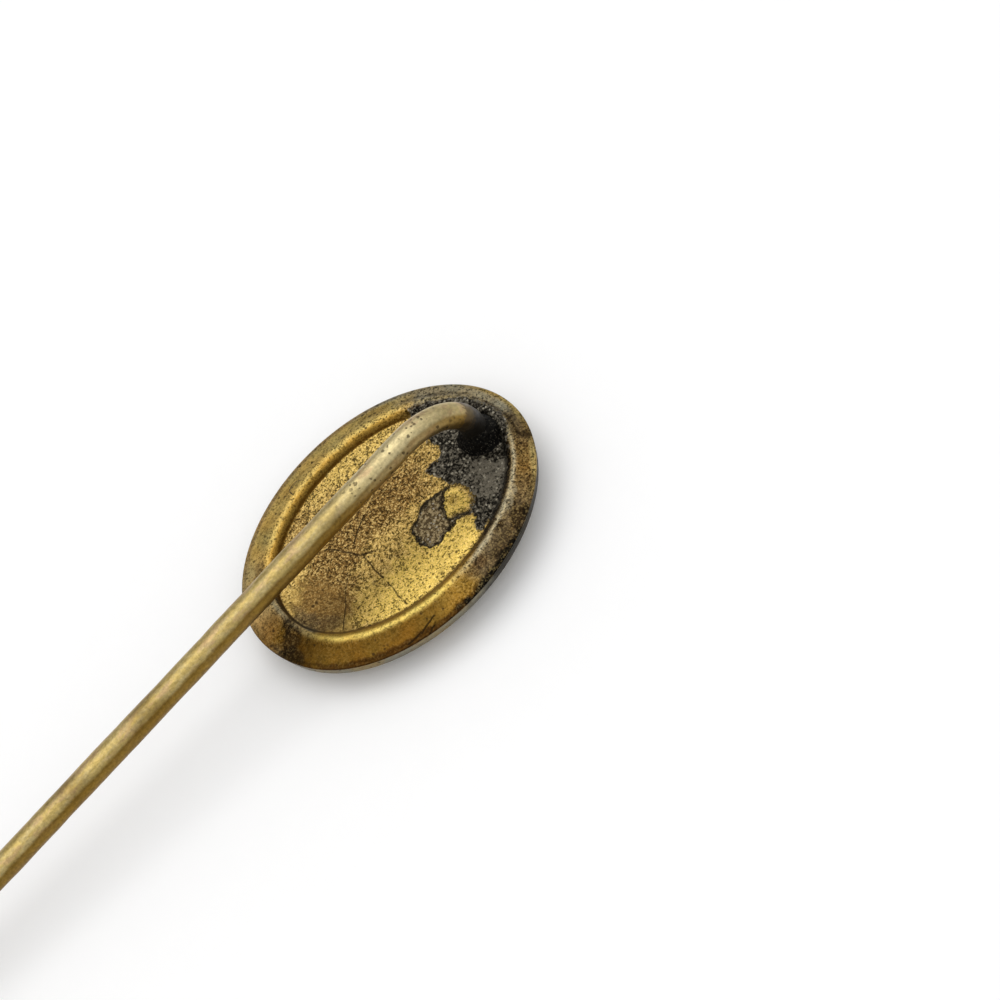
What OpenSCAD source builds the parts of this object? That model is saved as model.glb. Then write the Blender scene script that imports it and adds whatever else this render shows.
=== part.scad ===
// Oval-headed stick pin, lying face down: the front's dome and the stem's point touch the surface.
// The head is drawn level, about its own centre, with its long axis along X and the stem running to -X.
// The whole pin is then leaned until both touch, and moved so that the origin is under its middle.

/* [Head] */
// Length of the oval head
head_l = 14; // [12:0.1:18]
// Width of the oval head
head_w = 10.5; // [9:0.1:13]
// Length over all, from the head's end to the stem's point
overall_l = 63.5; // [55:0.5:76]

/* [Back plate] */
// Thickness of the flange at its edge
edge_t = 0.12; // [0.08:0.01:0.2]
// Thickness of the plate at its sunken panel
panel_t = 0.3; // [0.2:0.01:0.5]
// Depth of the panel's face below the flange's edge
panel_drop = 0.06; // [0:0.01:0.12]
// Distance from the head's edge to the top of the crest
crest_inset = 1; // [0.8:0.01:1.3]
// Height of the crest above the flange's edge
crest_h = 0.22; // [0.1:0.01:0.4]
// Width of the wall between the crest's top and the panel
crest_wall = 0.49; // [0.3:0.01:0.7]
// Distance that the crest and the panel sit off centre, towards the stem's foot
crest_shift = 0.26; // [0:0.01:0.4]

/* [Front plate] */
// Distance from the head's edge to the front plate's side
front_inset = 0.1; // [0.05:0.01:0.3]
// Thickness of the front plate's rim, which stands round the back plate
rim_t = 0.3; // [0.2:0.01:0.5]
// Thickness of the front plate under the back plate
floor_t = 0.27; // [0.05:0.01:0.5]
// Height of the dome on the hidden front
dome_h = 1; // [0.6:0.05:2]
// Gap left between the two plates
seat_gap = 0.05; // [0.03:0.01:0.08]

/* [Stem] */
// Diameter of the stem's wire
wire_d = 1.1; // [0.9:0.05:1.3]
// Distance from the head's centre to the middle of the stem's foot
foot_out = 5.2; // [4.5:0.05:5.3]
// Height above the flange's edge at which the wire starts to bend
rise = 0.95; // [0.6:0.05:2]
// Radius of the bend, at the wire's middle
bend_r = 2.5; // [1.8:0.1:3.5]
// Fall of the shank towards the front, in degrees
fall = 3.4; // [2.8:0.1:4]
// Length of the taper to the point
point_l = 9; // [7:0.5:14]
// Diameter of the blunt end of the point
tip_d = 0.12; // [0.1:0.01:0.3]

/* [Solder] */
// Width of the solder round the foot, past the wire
solder_w = 0.45; // [0.2:0.05:0.6]
// Height of the solder above the panel
solder_h = 0.7; // [0.4:0.05:1]

/* [Hidden] */
facets = 72;
$fn = 64;

// Columns of a section: half length and half width of its oval, height, and distance off centre
HALF_L = 0;
HALF_W = 1;
HEIGHT = 2;
SHIFT = 3;

// Columns of the flange's table: share of crest_inset, share of crest_h
RUN = 0;
RISE = 1;
flange_rise = [
    [0.00, 0.00],
    [0.30, 0.30],
    [0.60, 0.59],
    [0.76, 0.80],
    [0.88, 0.94],
    [1.00, 1.00]
];
WALL_STEPS = 5;
DOME_STEPS = 8;

// Share of the dome's size at its innermost ring, which closes it with a small flat
DOME_FLAT = 0.16;

// The wire is drawn down by this much round its bend, and the shank laps over the bend's end by this much
draw_down = 0.003;
lap = 0.06;

wire_r = wire_d / 2;
tip_r = tip_d / 2;
panel_z = -panel_drop;
plate_bottom = panel_z - panel_t;
core_inset = front_inset + rim_t + seat_gap;
rim_top = -edge_t - seat_gap;
floor_z = plate_bottom - seat_gap;
dome_edge = floor_z - floor_t;
dome_bottom = dome_edge - dome_h;

// The bend's centre, the end of the bend where the shank starts, and the middle of the point's end
bend_x = foot_out - bend_r;
shank_x = bend_x - bend_r * sin(fall);
shank_z = rise + bend_r * cos(fall);
tip_x = head_l / 2 - overall_l;
stem_run = (shank_x - tip_x) / cos(fall);
tip_z = shank_z - stem_run * sin(fall);

// The lean: the slope at which a level surface touches both the dome, taken as a parabola, and the point
dome_half_l = head_l / 2 - front_inset;
dome_half_w = head_w / 2 - front_inset;
dome_curve = dome_half_l * dome_half_l / (4 * dome_h);
tip_lift = tip_z - tip_r - dome_bottom;
lean_slope = (-tip_x - sqrt(tip_x * tip_x - 4 * dome_curve * tip_lift)) / (2 * dome_curve);
lean = atan(lean_slope);
surface_z = dome_bottom * cos(lean) - dome_curve * lean_slope * sin(lean);

// Ends of the leaned pin along X, whose middle is the origin
head_end = head_l / 2 * cos(lean) + edge_t * sin(lean);
tip_end = tip_x * cos(lean) - tip_z * sin(lean) - tip_r * sin(fall + lean);
middle_x = (head_end + tip_end) / 2;

// One oval ring of points at a row of a section
function oval(row) = [
    for (i = [0 : facets - 1])
        let (a = 360 * i / facets)
        [
            row[SHIFT] + row[HALF_L] * cos(a),
            row[HALF_W] * sin(a),
            row[HEIGHT]
        ]
];

// The row of a section that lies a distance in from the head's edge
function inward(inset, height, shift = 0) =
    [head_l / 2 - inset, head_w / 2 - inset, height, shift];

// A closed solid through the oval rings of a section, from its lowest cap to its highest
module ringed(section) {
    rings = len(section);
    points = [for (row = section) each oval(row)];
    sides = [
        for (k = [0 : rings - 2], i = [0 : facets - 1])
            let (j = (i + 1) % facets)
            [k * facets + i, (k + 1) * facets + i, (k + 1) * facets + j, k * facets + j]
    ];
    low_cap = [for (i = [0 : facets - 1]) i];
    high_cap = [for (i = [facets - 1 : -1 : 0]) (rings - 1) * facets + i];
    polyhedron(points = points, faces = concat([low_cap], sides, [high_cap]));
}

// The stamped back: a core inside the front's rim, a thin flange, the raised crest and the sunken panel
module back_plate() {
    flange = [
        for (row = flange_rise)
            inward(row[RUN] * crest_inset, row[RISE] * crest_h, row[RUN] * crest_shift)
    ];
    wall = [
        for (i = [1 : WALL_STEPS])
            let (s = i / WALL_STEPS)
            inward(
                crest_inset + s * crest_wall,
                crest_h - (crest_h + panel_drop) * (1 - cos(180 * s * s)) / 2,
                crest_shift
            )
    ];
    core = [
        inward(core_inset, plate_bottom),
        inward(core_inset, -edge_t),
        inward(0, -edge_t)
    ];
    color("goldenrod") ringed(concat(core, flange, wall));
}

// The wire: a short rise from the panel, one bend, the straight shank and the tapered point
module stem() {
    color("darkkhaki") {
        translate([foot_out, 0, plate_bottom + panel_t / 2])
            cylinder(h = rise - plate_bottom - panel_t / 2, r = wire_r);
        translate([bend_x, 0, rise])
            rotate([90, 0, 0])
                rotate_extrude(angle = 90 + fall)
                    translate([bend_r, 0])
                        circle(r = wire_r - draw_down);
        translate([shank_x, 0, shank_z])
            rotate([0, -90 - fall, 0]) {
                translate([0, 0, -lap])
                    cylinder(h = lap + stem_run - point_l, r = wire_r);
                translate([0, 0, stem_run - point_l])
                    cylinder(h = point_l, r1 = wire_r, r2 = tip_r);
            }
    }
}

// The solder that holds the foot
module solder() {
    color("dimgray")
        translate([foot_out, 0, plate_bottom + panel_t / 2])
            cylinder(h = solder_h + panel_t / 2, r1 = wire_r + solder_w, r2 = wire_r + solder_w / 4);
}

// The hidden front: a rim that stands round the back plate's core, a floor and a plain low dome
module front_dome() {
    dome = [
        for (i = [0 : DOME_STEPS])
            let (s = DOME_FLAT + (1 - DOME_FLAT) * i / DOME_STEPS)
            [s * dome_half_l, s * dome_half_w, dome_edge - dome_h * (1 - s * s), 0]
    ];
    rim = [
        inward(front_inset, rim_top),
        inward(front_inset + rim_t, rim_top),
        inward(front_inset + rim_t, floor_z)
    ];
    color("gold") ringed(concat(dome, rim));
}

// Leans the level pin until its dome and point touch the surface, and centres it over the origin
module lying() {
    translate([-middle_x, 0, -surface_z])
        rotate([0, -lean, 0])
            children();
}

// The back plate, the stem and the solder are one piece of metal
module pin_back() {
    lying() {
        back_plate();
        stem();
        solder();
    }
}

module front_plate() {
    lying()
        front_dome();
}

pin_back();
front_plate();
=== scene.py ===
"""The looks of an oval-headed stick pin that lies face down, with an aged gilt back and a wire stem."""

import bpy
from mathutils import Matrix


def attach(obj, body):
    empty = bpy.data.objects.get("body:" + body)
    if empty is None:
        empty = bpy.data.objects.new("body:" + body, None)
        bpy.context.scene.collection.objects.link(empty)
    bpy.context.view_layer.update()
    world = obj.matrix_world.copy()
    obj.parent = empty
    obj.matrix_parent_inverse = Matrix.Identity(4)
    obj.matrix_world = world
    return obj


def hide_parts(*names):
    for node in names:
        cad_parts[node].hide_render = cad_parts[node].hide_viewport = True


bl_info = {
    "name": "Stick pin",
    "version": (1, 0, 0),
    "blender": (4, 5, 0),
    "location": "3D View > Sidebar > Stick pin",
    "description": "Builds the pieces of an oval-headed stick pin and the stage that it lies on",
    "category": "Object",
}

from math import atan, cos, pi, radians, sin, sqrt
from types import SimpleNamespace

import bpy
import numpy as np
from bpy.props import FloatProperty, FloatVectorProperty, IntProperty, PointerProperty
from mathutils import Matrix, Vector, noise

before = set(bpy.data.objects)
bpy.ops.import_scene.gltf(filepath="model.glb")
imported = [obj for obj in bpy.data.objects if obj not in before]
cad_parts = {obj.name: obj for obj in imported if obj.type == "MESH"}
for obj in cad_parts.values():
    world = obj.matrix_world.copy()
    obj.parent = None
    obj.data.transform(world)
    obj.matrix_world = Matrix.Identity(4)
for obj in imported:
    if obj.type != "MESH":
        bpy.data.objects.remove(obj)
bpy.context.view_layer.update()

MM = 0.001
PICTURE_SIDE = 1000


def from_screen(red, green, blue):
    """A colour that a screen shows as these values of 0 to 255, as the linear values that Blender takes."""
    return tuple((value / 255) ** 2.2 for value in (red, green, blue))


def length(name, description, millimetres):
    """A length that a user may change, given in millimetres."""
    return FloatProperty(
        name=name, description=description, default=millimetres * MM, min=0, unit="LENGTH", precision=5
    )


def degrees(name, description, value):
    """An angle that a user may change, given in degrees."""
    return FloatProperty(name=name, description=description, default=radians(value), subtype="ANGLE")


def colour(name, description, *screen):
    """A colour that a user may change, given as the red, green and blue that a screen shows."""
    default = from_screen(*screen)
    return FloatVectorProperty(
        name=name, description=description, default=default, subtype="COLOR", size=3, min=0, max=1
    )


class PinSizes(bpy.types.PropertyGroup):
    """The pin's sizes, as the solids have them"""

    head_l: length("Head length", "Length of the oval head", 14)
    head_w: length("Head width", "Width of the oval head", 10.5)
    overall_l: length("Overall length", "From the head's end to the stem's point", 63.5)
    edge_t: length("Edge thickness", "Thickness of the flange at its edge", 0.12)
    panel_t: length("Panel thickness", "Thickness of the plate at its sunken panel", 0.3)
    panel_drop: length("Panel drop", "Depth of the panel below the flange's edge", 0.06)
    crest_inset: length("Crest inset", "From the head's edge to the top of the crest", 1)
    crest_h: length("Crest height", "Height of the crest above the flange's edge", 0.22)
    crest_wall: length("Crest wall", "Width of the wall between the crest and the panel", 0.49)
    crest_shift: length("Crest shift", "How far the crest sits off centre, towards the foot", 0.26)
    front_inset: length("Front inset", "From the head's edge to the front plate's side", 0.1)
    rim_t: length("Rim thickness", "Thickness of the front plate's rim", 0.3)
    floor_t: length("Floor thickness", "Thickness of the front plate under the back plate", 0.27)
    dome_h: length("Dome height", "Height of the dome on the front", 1)
    seat_gap: length("Seat gap", "Gap between the two plates", 0.05)
    wire_d: length("Wire diameter", "Diameter of the stem's wire", 1.1)
    foot_out: length("Foot distance", "From the head's centre to the middle of the stem's foot", 5.2)
    rise: length("Rise", "Height above the flange's edge at which the wire starts to bend", 0.95)
    bend_r: length("Bend radius", "Radius of the bend, at the wire's middle", 2.5)
    point_l: length("Point length", "Length of the taper to the point", 9)
    tip_d: length("Tip diameter", "Diameter of the blunt end of the point", 0.12)
    solder_w: length("Solder width", "Width of the solder round the foot, past the wire", 0.45)
    solder_h: length("Solder height", "Height of the solder above the panel", 0.7)
    fall: degrees("Fall", "Fall of the shank towards the front", 3.4)


class PinColours(bpy.types.PropertyGroup):
    """The colours of the pin's aged metal"""

    gilt: colour("Gilt", "Bright gilt that has kept its colour", 206, 176, 91)
    worn_gilt: colour("Worn gilt", "Gilt that has dulled", 160, 132, 74)
    gold: colour("Gold", "Deeper gold on the flange", 184, 156, 88)
    ochre: colour("Ochre", "Gilt worn thin on the flange", 120, 92, 40)
    deep: colour("Deep gold", "Deep gold of the crest's inner wall", 152, 119, 54)
    umber: colour("Umber", "Even brown tarnish on the flange", 96, 70, 28)
    brown: colour("Brown tarnish", "Tarnish over the middle of the panel", 112, 86, 48)
    # Also stands for painted shade at the foot of the crest's inner wall
    dirt_and_shade: colour("Dirt", "Dirt at the foot of the crest", 88, 60, 20)
    # At the flange's lower edge it also stands for painted shade in the gap between the plates
    rust: colour("Rust", "Red-brown tarnish at the flange's edge", 58, 38, 20)
    drab: colour("Drab", "Grey-brown tarnish on the flange", 86, 73, 53)
    dark: colour("Dark tarnish", "Tarnish in hollows and stains", 46, 36, 24)
    tan: colour("Tan", "Pale brown metal with little gilt left", 160, 134, 88)
    beige: colour("Beige", "Pale metal at the flange's edge", 161, 137, 83)
    olive: colour("Olive", "Grey-olive metal where the gilt has gone", 112, 102, 78)
    # On the crest it also stands for a painted highlight along the ridge
    bare_and_sheen: colour("Bare metal", "Pale grey metal, rubbed clean on the crest", 148, 138, 112)
    fleck: colour("Fleck", "Pale flecks between the panel's dark grains", 208, 182, 118)
    soot: colour("Soot", "Flux and soot round the solder", 26, 24, 20)
    char: colour("Char", "The blackest soot, at the stem's foot", 11, 10, 8)
    # Also stands for the painted sheen on the soot's smooth places
    ash_and_sheen: colour("Ash", "Greyer soot, and the soot's coarse grains", 112, 106, 93)
    glitter: colour("Glitter", "Grains that glitter in the soot", 188, 180, 160)
    lobe: colour("Lobe", "The thin brown-grey lobe of the solder's run", 160, 142, 106)
    wire: colour("Wire", "The stem's olive gold", 172, 150, 92)
    wire_pale: colour("Pale wire", "The stem where it is rubbed", 200, 186, 144)
    wire_pink: colour("Pinkish wire", "Long pinkish streaks on the stem", 178, 148, 112)
    # Tarnish and painted shade on the stem's under side
    wire_under_tarnish_and_shade: colour("Under side", "Tarnish on the stem's under side", 122, 94, 38)
    wire_dark: colour("Dark wire", "Tarnish in the stem's drawing marks", 110, 88, 46)
    front: colour("Front", "The front plate's grey olive", 134, 129, 110)
    floor: colour("Floor", "The pale surface under the pin", 252, 252, 252)


class PinStage(bpy.types.PropertyGroup):
    """How the picture looks at the pin"""

    distance: length("Distance", "From the camera to the head", 200)
    lens: FloatProperty(
        name="Lens", description="Focal length for a sensor 36 mm wide", default=180, unit="CAMERA"
    )
    turn: degrees("Turn", "The picture's angle of the head's long axis before the head is tilted", 46.1)
    tilt: degrees("Tilt", "Tilt of the back away from the camera", 34)
    tilt_way: degrees("Tilt direction", "The picture's angle towards which the back is tilted", 129.1)
    head_x: IntProperty(name="Head X", description="Pixel column of the head's centre", default=388)
    head_y: IntProperty(name="Head Y", description="Pixel row of the head's centre", default=526)


def settle(sizes):
    """Works out how the pin lies: the same lean and the same centre over the origin as the solids have."""
    mm = SimpleNamespace(**{key: getattr(sizes, key) / MM for key in sizes.__annotations__ if key != "fall"})
    mm.fall = sizes.fall
    mm.wire_r = mm.wire_d / 2
    mm.tip_r = mm.tip_d / 2
    mm.panel_z = -mm.panel_drop
    mm.plate_bottom = mm.panel_z - mm.panel_t
    mm.core_inset = mm.front_inset + mm.rim_t + mm.seat_gap
    mm.rim_top = -mm.edge_t - mm.seat_gap
    mm.floor_z = mm.plate_bottom - mm.seat_gap
    mm.dome_edge = mm.floor_z - mm.floor_t
    mm.bend_x = mm.foot_out - mm.bend_r
    mm.shank_x = mm.bend_x - mm.bend_r * sin(mm.fall)
    mm.shank_z = mm.rise + mm.bend_r * cos(mm.fall)
    mm.tip_x = mm.head_l / 2 - mm.overall_l
    mm.stem_run = (mm.shank_x - mm.tip_x) / cos(mm.fall)
    tip_z = mm.shank_z - mm.stem_run * sin(mm.fall)
    dome_bottom = mm.dome_edge - mm.dome_h
    curve = (mm.head_l / 2 - mm.front_inset) ** 2 / (4 * mm.dome_h)
    lift = tip_z - mm.tip_r - dome_bottom
    slope = (-mm.tip_x - sqrt(mm.tip_x**2 - 4 * curve * lift)) / (2 * curve)
    mm.lean = atan(slope)
    surface = dome_bottom * cos(mm.lean) - curve * slope * sin(mm.lean)
    head_end = mm.head_l / 2 * cos(mm.lean) + mm.edge_t * sin(mm.lean)
    tip_end = mm.tip_x * cos(mm.lean) - tip_z * sin(mm.lean)
    tip_end -= mm.tip_r * sin(mm.fall + mm.lean)
    mm.head_centre = (-(head_end + tip_end) / 2, 0, -surface)
    return mm


def laid_down(points, mm):
    """Takes points of the level head's frame to the leaned pin's frame, both in millimetres."""
    run, climb = cos(mm.lean), sin(mm.lean)
    x, y, z = points[..., 0], points[..., 1], points[..., 2]
    return np.stack([x * run - z * climb, y, x * climb + z * run], -1) + mm.head_centre


def smooth_step(value):
    """Eases from 0 to 1 as the value goes from 0 to 1."""
    value = np.clip(value, 0, 1)
    return value * value * (3 - 2 * value)


def rough(points, scale, seed=0):
    """Smooth noise of about -1 to 1 at each point, with bumps one over scale millimetres wide."""
    shift = Vector((seed * 17.3, seed * 5.1, seed * 9.7))
    flat = points.reshape(-1, 3) * scale
    return np.array([noise.noise(Vector(point) + shift) for point in flat]).reshape(points.shape[:-1])


def ring_faces(rings, sides):
    """Quads between closed rings of points, and a fan at each end round a centre point after the rings."""
    top = (rings - 1) * sides
    first, last = rings * sides, rings * sides + 1
    pairs = [(side, (side + 1) % sides) for side in range(sides)]
    faces = []
    for low in range(0, top, sides):
        high = low + sides
        faces += [(low + side, low + after, high + after, high + side) for side, after in pairs]
    for side, after in pairs:
        faces += [(first, after, side), (last, top + side, top + after)]
    return faces


def add_object(name, data):
    """Puts a mesh, a camera or a light in the scene."""
    made = bpy.data.objects.new(name, data)
    bpy.context.scene.collection.objects.link(made)
    return made


def add_piece(name, rings, mm, material, replaced, values=None):
    """Makes a closed piece from rings of points in the head's frame, with values painted on its points."""
    count, sides = rings.shape[:2]
    ends = np.stack([rings[0].mean(0), rings[-1].mean(0)])
    points = np.concatenate([rings.reshape(-1, 3), ends])
    mesh = bpy.data.meshes.new(name)
    mesh.from_pydata((laid_down(points, mm) * MM).tolist(), [], ring_faces(count, sides))
    for key, field in (values or {}).items():
        flat = field.reshape(count * sides, -1)
        flat = np.concatenate([flat, flat[:sides].mean(0)[None], flat[-sides:].mean(0)[None]])
        if flat.shape[1] == 1:
            layer, slot_name = mesh.attributes.new(key, "FLOAT", "POINT"), "value"
        else:
            layer, slot_name = mesh.attributes.new(key, "FLOAT_COLOR", "POINT"), "color"
            flat = np.concatenate([flat, np.ones((len(flat), 1))], 1)
        layer.data.foreach_set(slot_name, flat.reshape(-1).astype(np.float32))
    mesh.materials.append(material)
    mesh.shade_smooth()
    mesh.update()
    piece = add_object(name, mesh)
    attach(piece, "root")
    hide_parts(replaced)


# Outlines of the solder's run on the plate, as points along and across the head from its centre.
# They are in millimetres.
SOOT_OUTLINE = (
    (4.05, 3.15), (4.60, 2.95), (5.00, 2.60), (5.52, 2.02), (5.95, 1.50), (6.15, 1.04), (6.32, 0.65),
    (6.41, 0.26), (6.39, -0.26), (6.28, -0.62), (6.00, -0.90), (5.53, -1.50), (4.88, -2.14),
    (4.25, -2.68), (3.58, -3.06), (2.93, -3.28), (2.28, -3.38), (2.28, -3.00), (2.56, -2.62),
    (2.72, -2.36), (2.94, -2.08), (3.20, -1.76), (3.29, -1.41), (3.20, -0.98), (2.92, -0.63),
    (2.80, -0.32), (2.76, 0.10), (2.60, 0.45), (2.75, 0.62), (3.37, 0.66), (3.74, 0.96), (3.62, 1.56),
    (3.50, 2.00), (3.60, 2.60),
)
LOBE_OUTLINE = (
    (2.86, -0.64), (2.27, -0.54), (1.72, -0.44), (1.20, -0.52), (0.70, -0.78), (0.36, -0.87),
    (0.29, -1.28), (0.31, -1.79), (0.49, -2.11), (0.87, -2.34), (1.23, -2.30), (1.66, -2.18),
    (2.13, -2.16), (2.62, -2.38), (2.74, -2.22), (2.24, -1.98), (1.90, -1.76), (2.06, -1.32),
    (2.40, -0.88),
)

# The rim by bearing: angle from the head's end in degrees, hue at the edge, on the flange, on the crest,
# where rubbed gilt also serves as a painted highlight, and on the crest's inner wall, how grainy the rim is
# and how much dirt and painted shade the crest's foot gets, both from 0 to 1
RIM_TONES = (
    (-180, "brown", "umber", "olive", "drab", 0.6, 0.1),
    (-171, "drab", "umber", "olive", "olive", 0.6, 0.0),
    (-164, "umber", "umber", "beige", "olive", 0.5, 0.0),
    (-156, "umber", "umber", "gilt", "deep", 0.3, 0.05),
    (-105, "umber", "umber", "gilt", "deep", 0.2, 0.15),
    (-95, "umber", "ochre", "gilt", "deep", 0.4, 0.15),
    (-87, "umber", "ochre", "beige", "deep", 0.7, 0.1),
    (-80, "drab", "drab", "bare_and_sheen", "ochre", 0.7, 0.0),
    (-68, "drab", "drab", "bare_and_sheen", "dark", 0.6, 0.0),
    (-50, "drab", "drab", "bare_and_sheen", "dark", 0.8, 0.0),
    (-36, "beige", "brown", "bare_and_sheen", "dark", 1.0, 0.0),
    (-27, "beige", "brown", "bare_and_sheen", "dark", 1.0, 0.0),
    (-16, "drab", "drab", "olive", "dark", 0.8, 0.0),
    (-6, "beige", "drab", "olive", "drab", 0.8, 0.0),
    (5, "beige", "bare_and_sheen", "olive", "drab", 0.9, 0.0),
    (16, "beige", "bare_and_sheen", "olive", "drab", 1.0, 0.0),
    (30, "bare_and_sheen", "bare_and_sheen", "olive", "dark", 1.0, 0.0),
    (45, "bare_and_sheen", "bare_and_sheen", "olive", "dark", 1.0, 0.1),
    (56, "bare_and_sheen", "gold", "gold", "deep", 0.9, 0.7),
    (75, "tan", "gold", "gold", "deep", 0.6, 0.8),
    (130, "tan", "gold", "gold", "deep", 0.6, 0.8),
    (150, "tan", "tan", "gold", "deep", 0.6, 0.6),
    (166, "tan", "tan", "olive", "drab", 0.6, 0.6),
    (175, "brown", "brown", "olive", "drab", 0.6, 0.4),
)
BEARING, EDGE_HUE, FLANGE_HUE, CREST_RUB_AND_HIGHLIGHT_HUE, WALL_HUE, GRAIN, DIRT_AND_SHADE = range(7)

# Stains on the rim: hue, angle in degrees, inset in millimetres, half length in degrees, half width, strength
RIM_STAINS = (
    ("dark", -177, 0.95, 5, 0.3, 0.85),
    ("dark", -172, 0.55, 6, 0.35, 0.8),
    ("dark", -166, 0.2, 7, 0.3, 0.8),
    ("dark", -66, 0.35, 7, 0.3, 0.7),
    ("dark", -56, 0.35, 5, 0.35, 0.95),
    ("dark", -64, 0.84, 2.5, 0.12, 0.9),
    # A painted highlight along the sooty crest's ridge
    ("bare_and_sheen", -50, 0.84, 7, 0.12, 0.5),
    ("rust", -79, 0.7, 4, 0.25, 0.5),
    # The next two rows: tarnish at the flange's lower edge, and also painted shade in the gap between the
    # plates
    ("rust", -118, 0.04, 32, 0.2, 0.8),
    ("soot", -75, 0.0, 20, 0.24, 1.0),
    ("rust", -41, 0.15, 4, 0.2, 0.6),
    ("rust", -24, 0.43, 3, 0.15, 0.5),
    ("dark", -17, 0.3, 1.5, 0.35, 0.8),
    ("dark", -8, 0.66, 8, 0.09, 0.8),
    ("rust", 8, 0.8, 12, 0.09, 0.6),
    ("dark", 30, 0.68, 12, 0.13, 0.5),
    ("dark", 46, 0.65, 6, 0.13, 0.5),
    ("umber", 62, 0.5, 8, 0.2, 0.4),
    ("umber", 105, 0.55, 8, 0.12, 0.4),
    ("umber", 125, 0.5, 8, 0.2, 0.3),
    ("brown", 150, 0.9, 10, 0.4, 0.7),
)
HUE, ANGLE, INSET, HALF_ANGLE, HALF_INSET, RIM_STRENGTH = range(6)

# Stains on the panel: hue, along, across, half length, half width in millimetres, turn in degrees, strength
PANEL_STAINS = (
    ("gilt", -0.3, -2.7, 2.7, 1.0, 0, 1.0),
    ("gilt", -2.7, -2.0, 1.5, 0.9, -25, 0.5),
    ("gilt", 2.2, -2.75, 0.7, 0.6, 0, 1.0),
    ("gilt", 0.6, -1.6, 0.8, 0.5, 0, 0.5),
    ("gilt", 1.2, 3.5, 2.3, 0.45, 0, 0.3),
    ("gilt", 2.55, -1.4, 0.6, 0.6, 0, 0.9),
    ("brown", 0.6, 1.0, 2.2, 1.1, 0, 1.0),
    ("brown", -2.2, 0.7, 2.0, 0.9, 8, 1.0),
    ("brown", 1.9, 0.1, 0.7, 0.6, 0, 0.7),
    ("brown", -2.7, 3.1, 1.1, 0.6, 20, 0.6),
    ("umber", 2.45, -1.29, 0.26, 0.22, 0, 0.6),
    ("brown", 3.1, 1.2, 0.5, 0.6, 0, 0.35),
    ("drab", 2.45, -2.05, 0.35, 0.16, -20, 0.8),
    ("brown", -3.9, -0.4, 1.6, 1.2, 15, 1.0),
    ("drab", -5.0, -0.3, 0.35, 0.7, 10, 0.7),
    ("drab", -4.5, -1.2, 0.4, 0.7, 40, 0.5),
    ("dark", -5.1, 0.1, 0.1, 0.7, 0, 0.6),
)
STAIN_HUE, ALONG, ACROSS, HALF_L, HALF_W, TURN, STRENGTH = range(7)

# The dull end of the panel, where the speckle is faint, in the same columns
CALM = ("brown", -4.4, -0.5, 1.3, 1.6, 0, 0.55)

# Painted sheen: smooth grey places in the soot where the smoother crust reflects the light, in the same
# columns
SHEEN_PLACES = (
    ("ash_and_sheen", 4.3, -1.5, 0.9, 0.55, -45, 1.0),
    ("ash_and_sheen", 3.7, -2.1, 0.7, 0.3, -35, 0.7),
)


def inside(outline, points):
    """How far each point lies inside a closed outline, in millimetres. Outside, it is below 0."""
    u, v = points[..., 0], points[..., 1]
    nearest = np.full(u.shape, 1e9)
    within = np.zeros(u.shape, bool)
    for (x0, y0), (x1, y1) in zip(outline, outline[1:] + outline[:1]):
        run = np.clip(((u - x0) * (x1 - x0) + (v - y0) * (y1 - y0)) / ((x1 - x0) ** 2 + (y1 - y0) ** 2), 0, 1)
        nearest = np.minimum(nearest, np.hypot(u - x0 - run * (x1 - x0), v - y0 - run * (y1 - y0)))
        if y0 != y1:
            crossed = (y0 > v) != (y1 > v)
            within ^= crossed & (u < x0 + (v - y0) / (y1 - y0) * (x1 - x0))
    return np.where(within, nearest, -nearest)


def stain_strength(stain, points, torn):
    """Strength of a stain on the panel at each point, from 0 to 1, with its edge torn by noise."""
    angle = radians(stain[TURN])
    u, v = points[..., 0] - stain[ALONG], points[..., 1] - stain[ACROSS]
    along = (u * cos(angle) + v * sin(angle)) / stain[HALF_L]
    across = (v * cos(angle) - u * sin(angle)) / stain[HALF_W]
    return stain[STRENGTH] * smooth_step((1.3 + 0.3 * torn - np.hypot(along, across)) / 0.6)


def turn_from(angle, middle):
    """The turn from a middle angle to another, in degrees from -180 to 180."""
    return (angle - middle + 180) % 360 - 180


def rim_stain_strength(stain, angle, inset, torn):
    """Strength of a stain on the rim at each point, from 0 to 1, with its edge torn by noise."""
    along = turn_from(angle, stain[ANGLE]) / stain[HALF_ANGLE]
    across = (inset - stain[INSET]) / stain[HALF_INSET]
    return stain[RIM_STRENGTH] * smooth_step((1.3 + 0.5 * torn - np.hypot(along, across)) / 0.6)


def mixed(first, second, share):
    """Mixes two colours, or arrays of them: the first at a share of 0, and the second at 1."""
    return first + (np.asarray(second) - first) * share[..., None]


def warped(points, amount, scale, seed):
    """The points moved along and across the head by smooth noise, so that an outline turns ragged."""
    moved = points.copy()
    moved[..., 0] += amount * rough(points, scale, seed)
    moved[..., 1] += amount * rough(points, scale, seed + 1)
    return moved


def round_rim(turned, column, hue_of=None):
    """One column of the rim's table at each bearing: a hue, where hues are given, or else a number."""
    bearings = [row[BEARING] for row in RIM_TONES]
    if hue_of is None:
        return np.interp(turned, bearings, [row[column] for row in RIM_TONES], period=360)
    table = np.array([hue_of[row[column]] for row in RIM_TONES])
    return np.stack([np.interp(turned, bearings, table[:, part], period=360) for part in range(3)], -1)


# Bands of colour round the rim, in millimetres: the edge's width and its fade, the half width of the crest's
# band of rubbed gilt and painted highlight, the fade of its inner wall, and the place and half width of a
# dark line by the edge
EDGE_BAND = 0.1
EDGE_FADE = 0.25
CREST_RUB_AND_HIGHLIGHT_BAND = 0.1
WALL_FADE = 0.2
LINE_INSET = 0.14
LINE_BAND = 0.05


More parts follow.
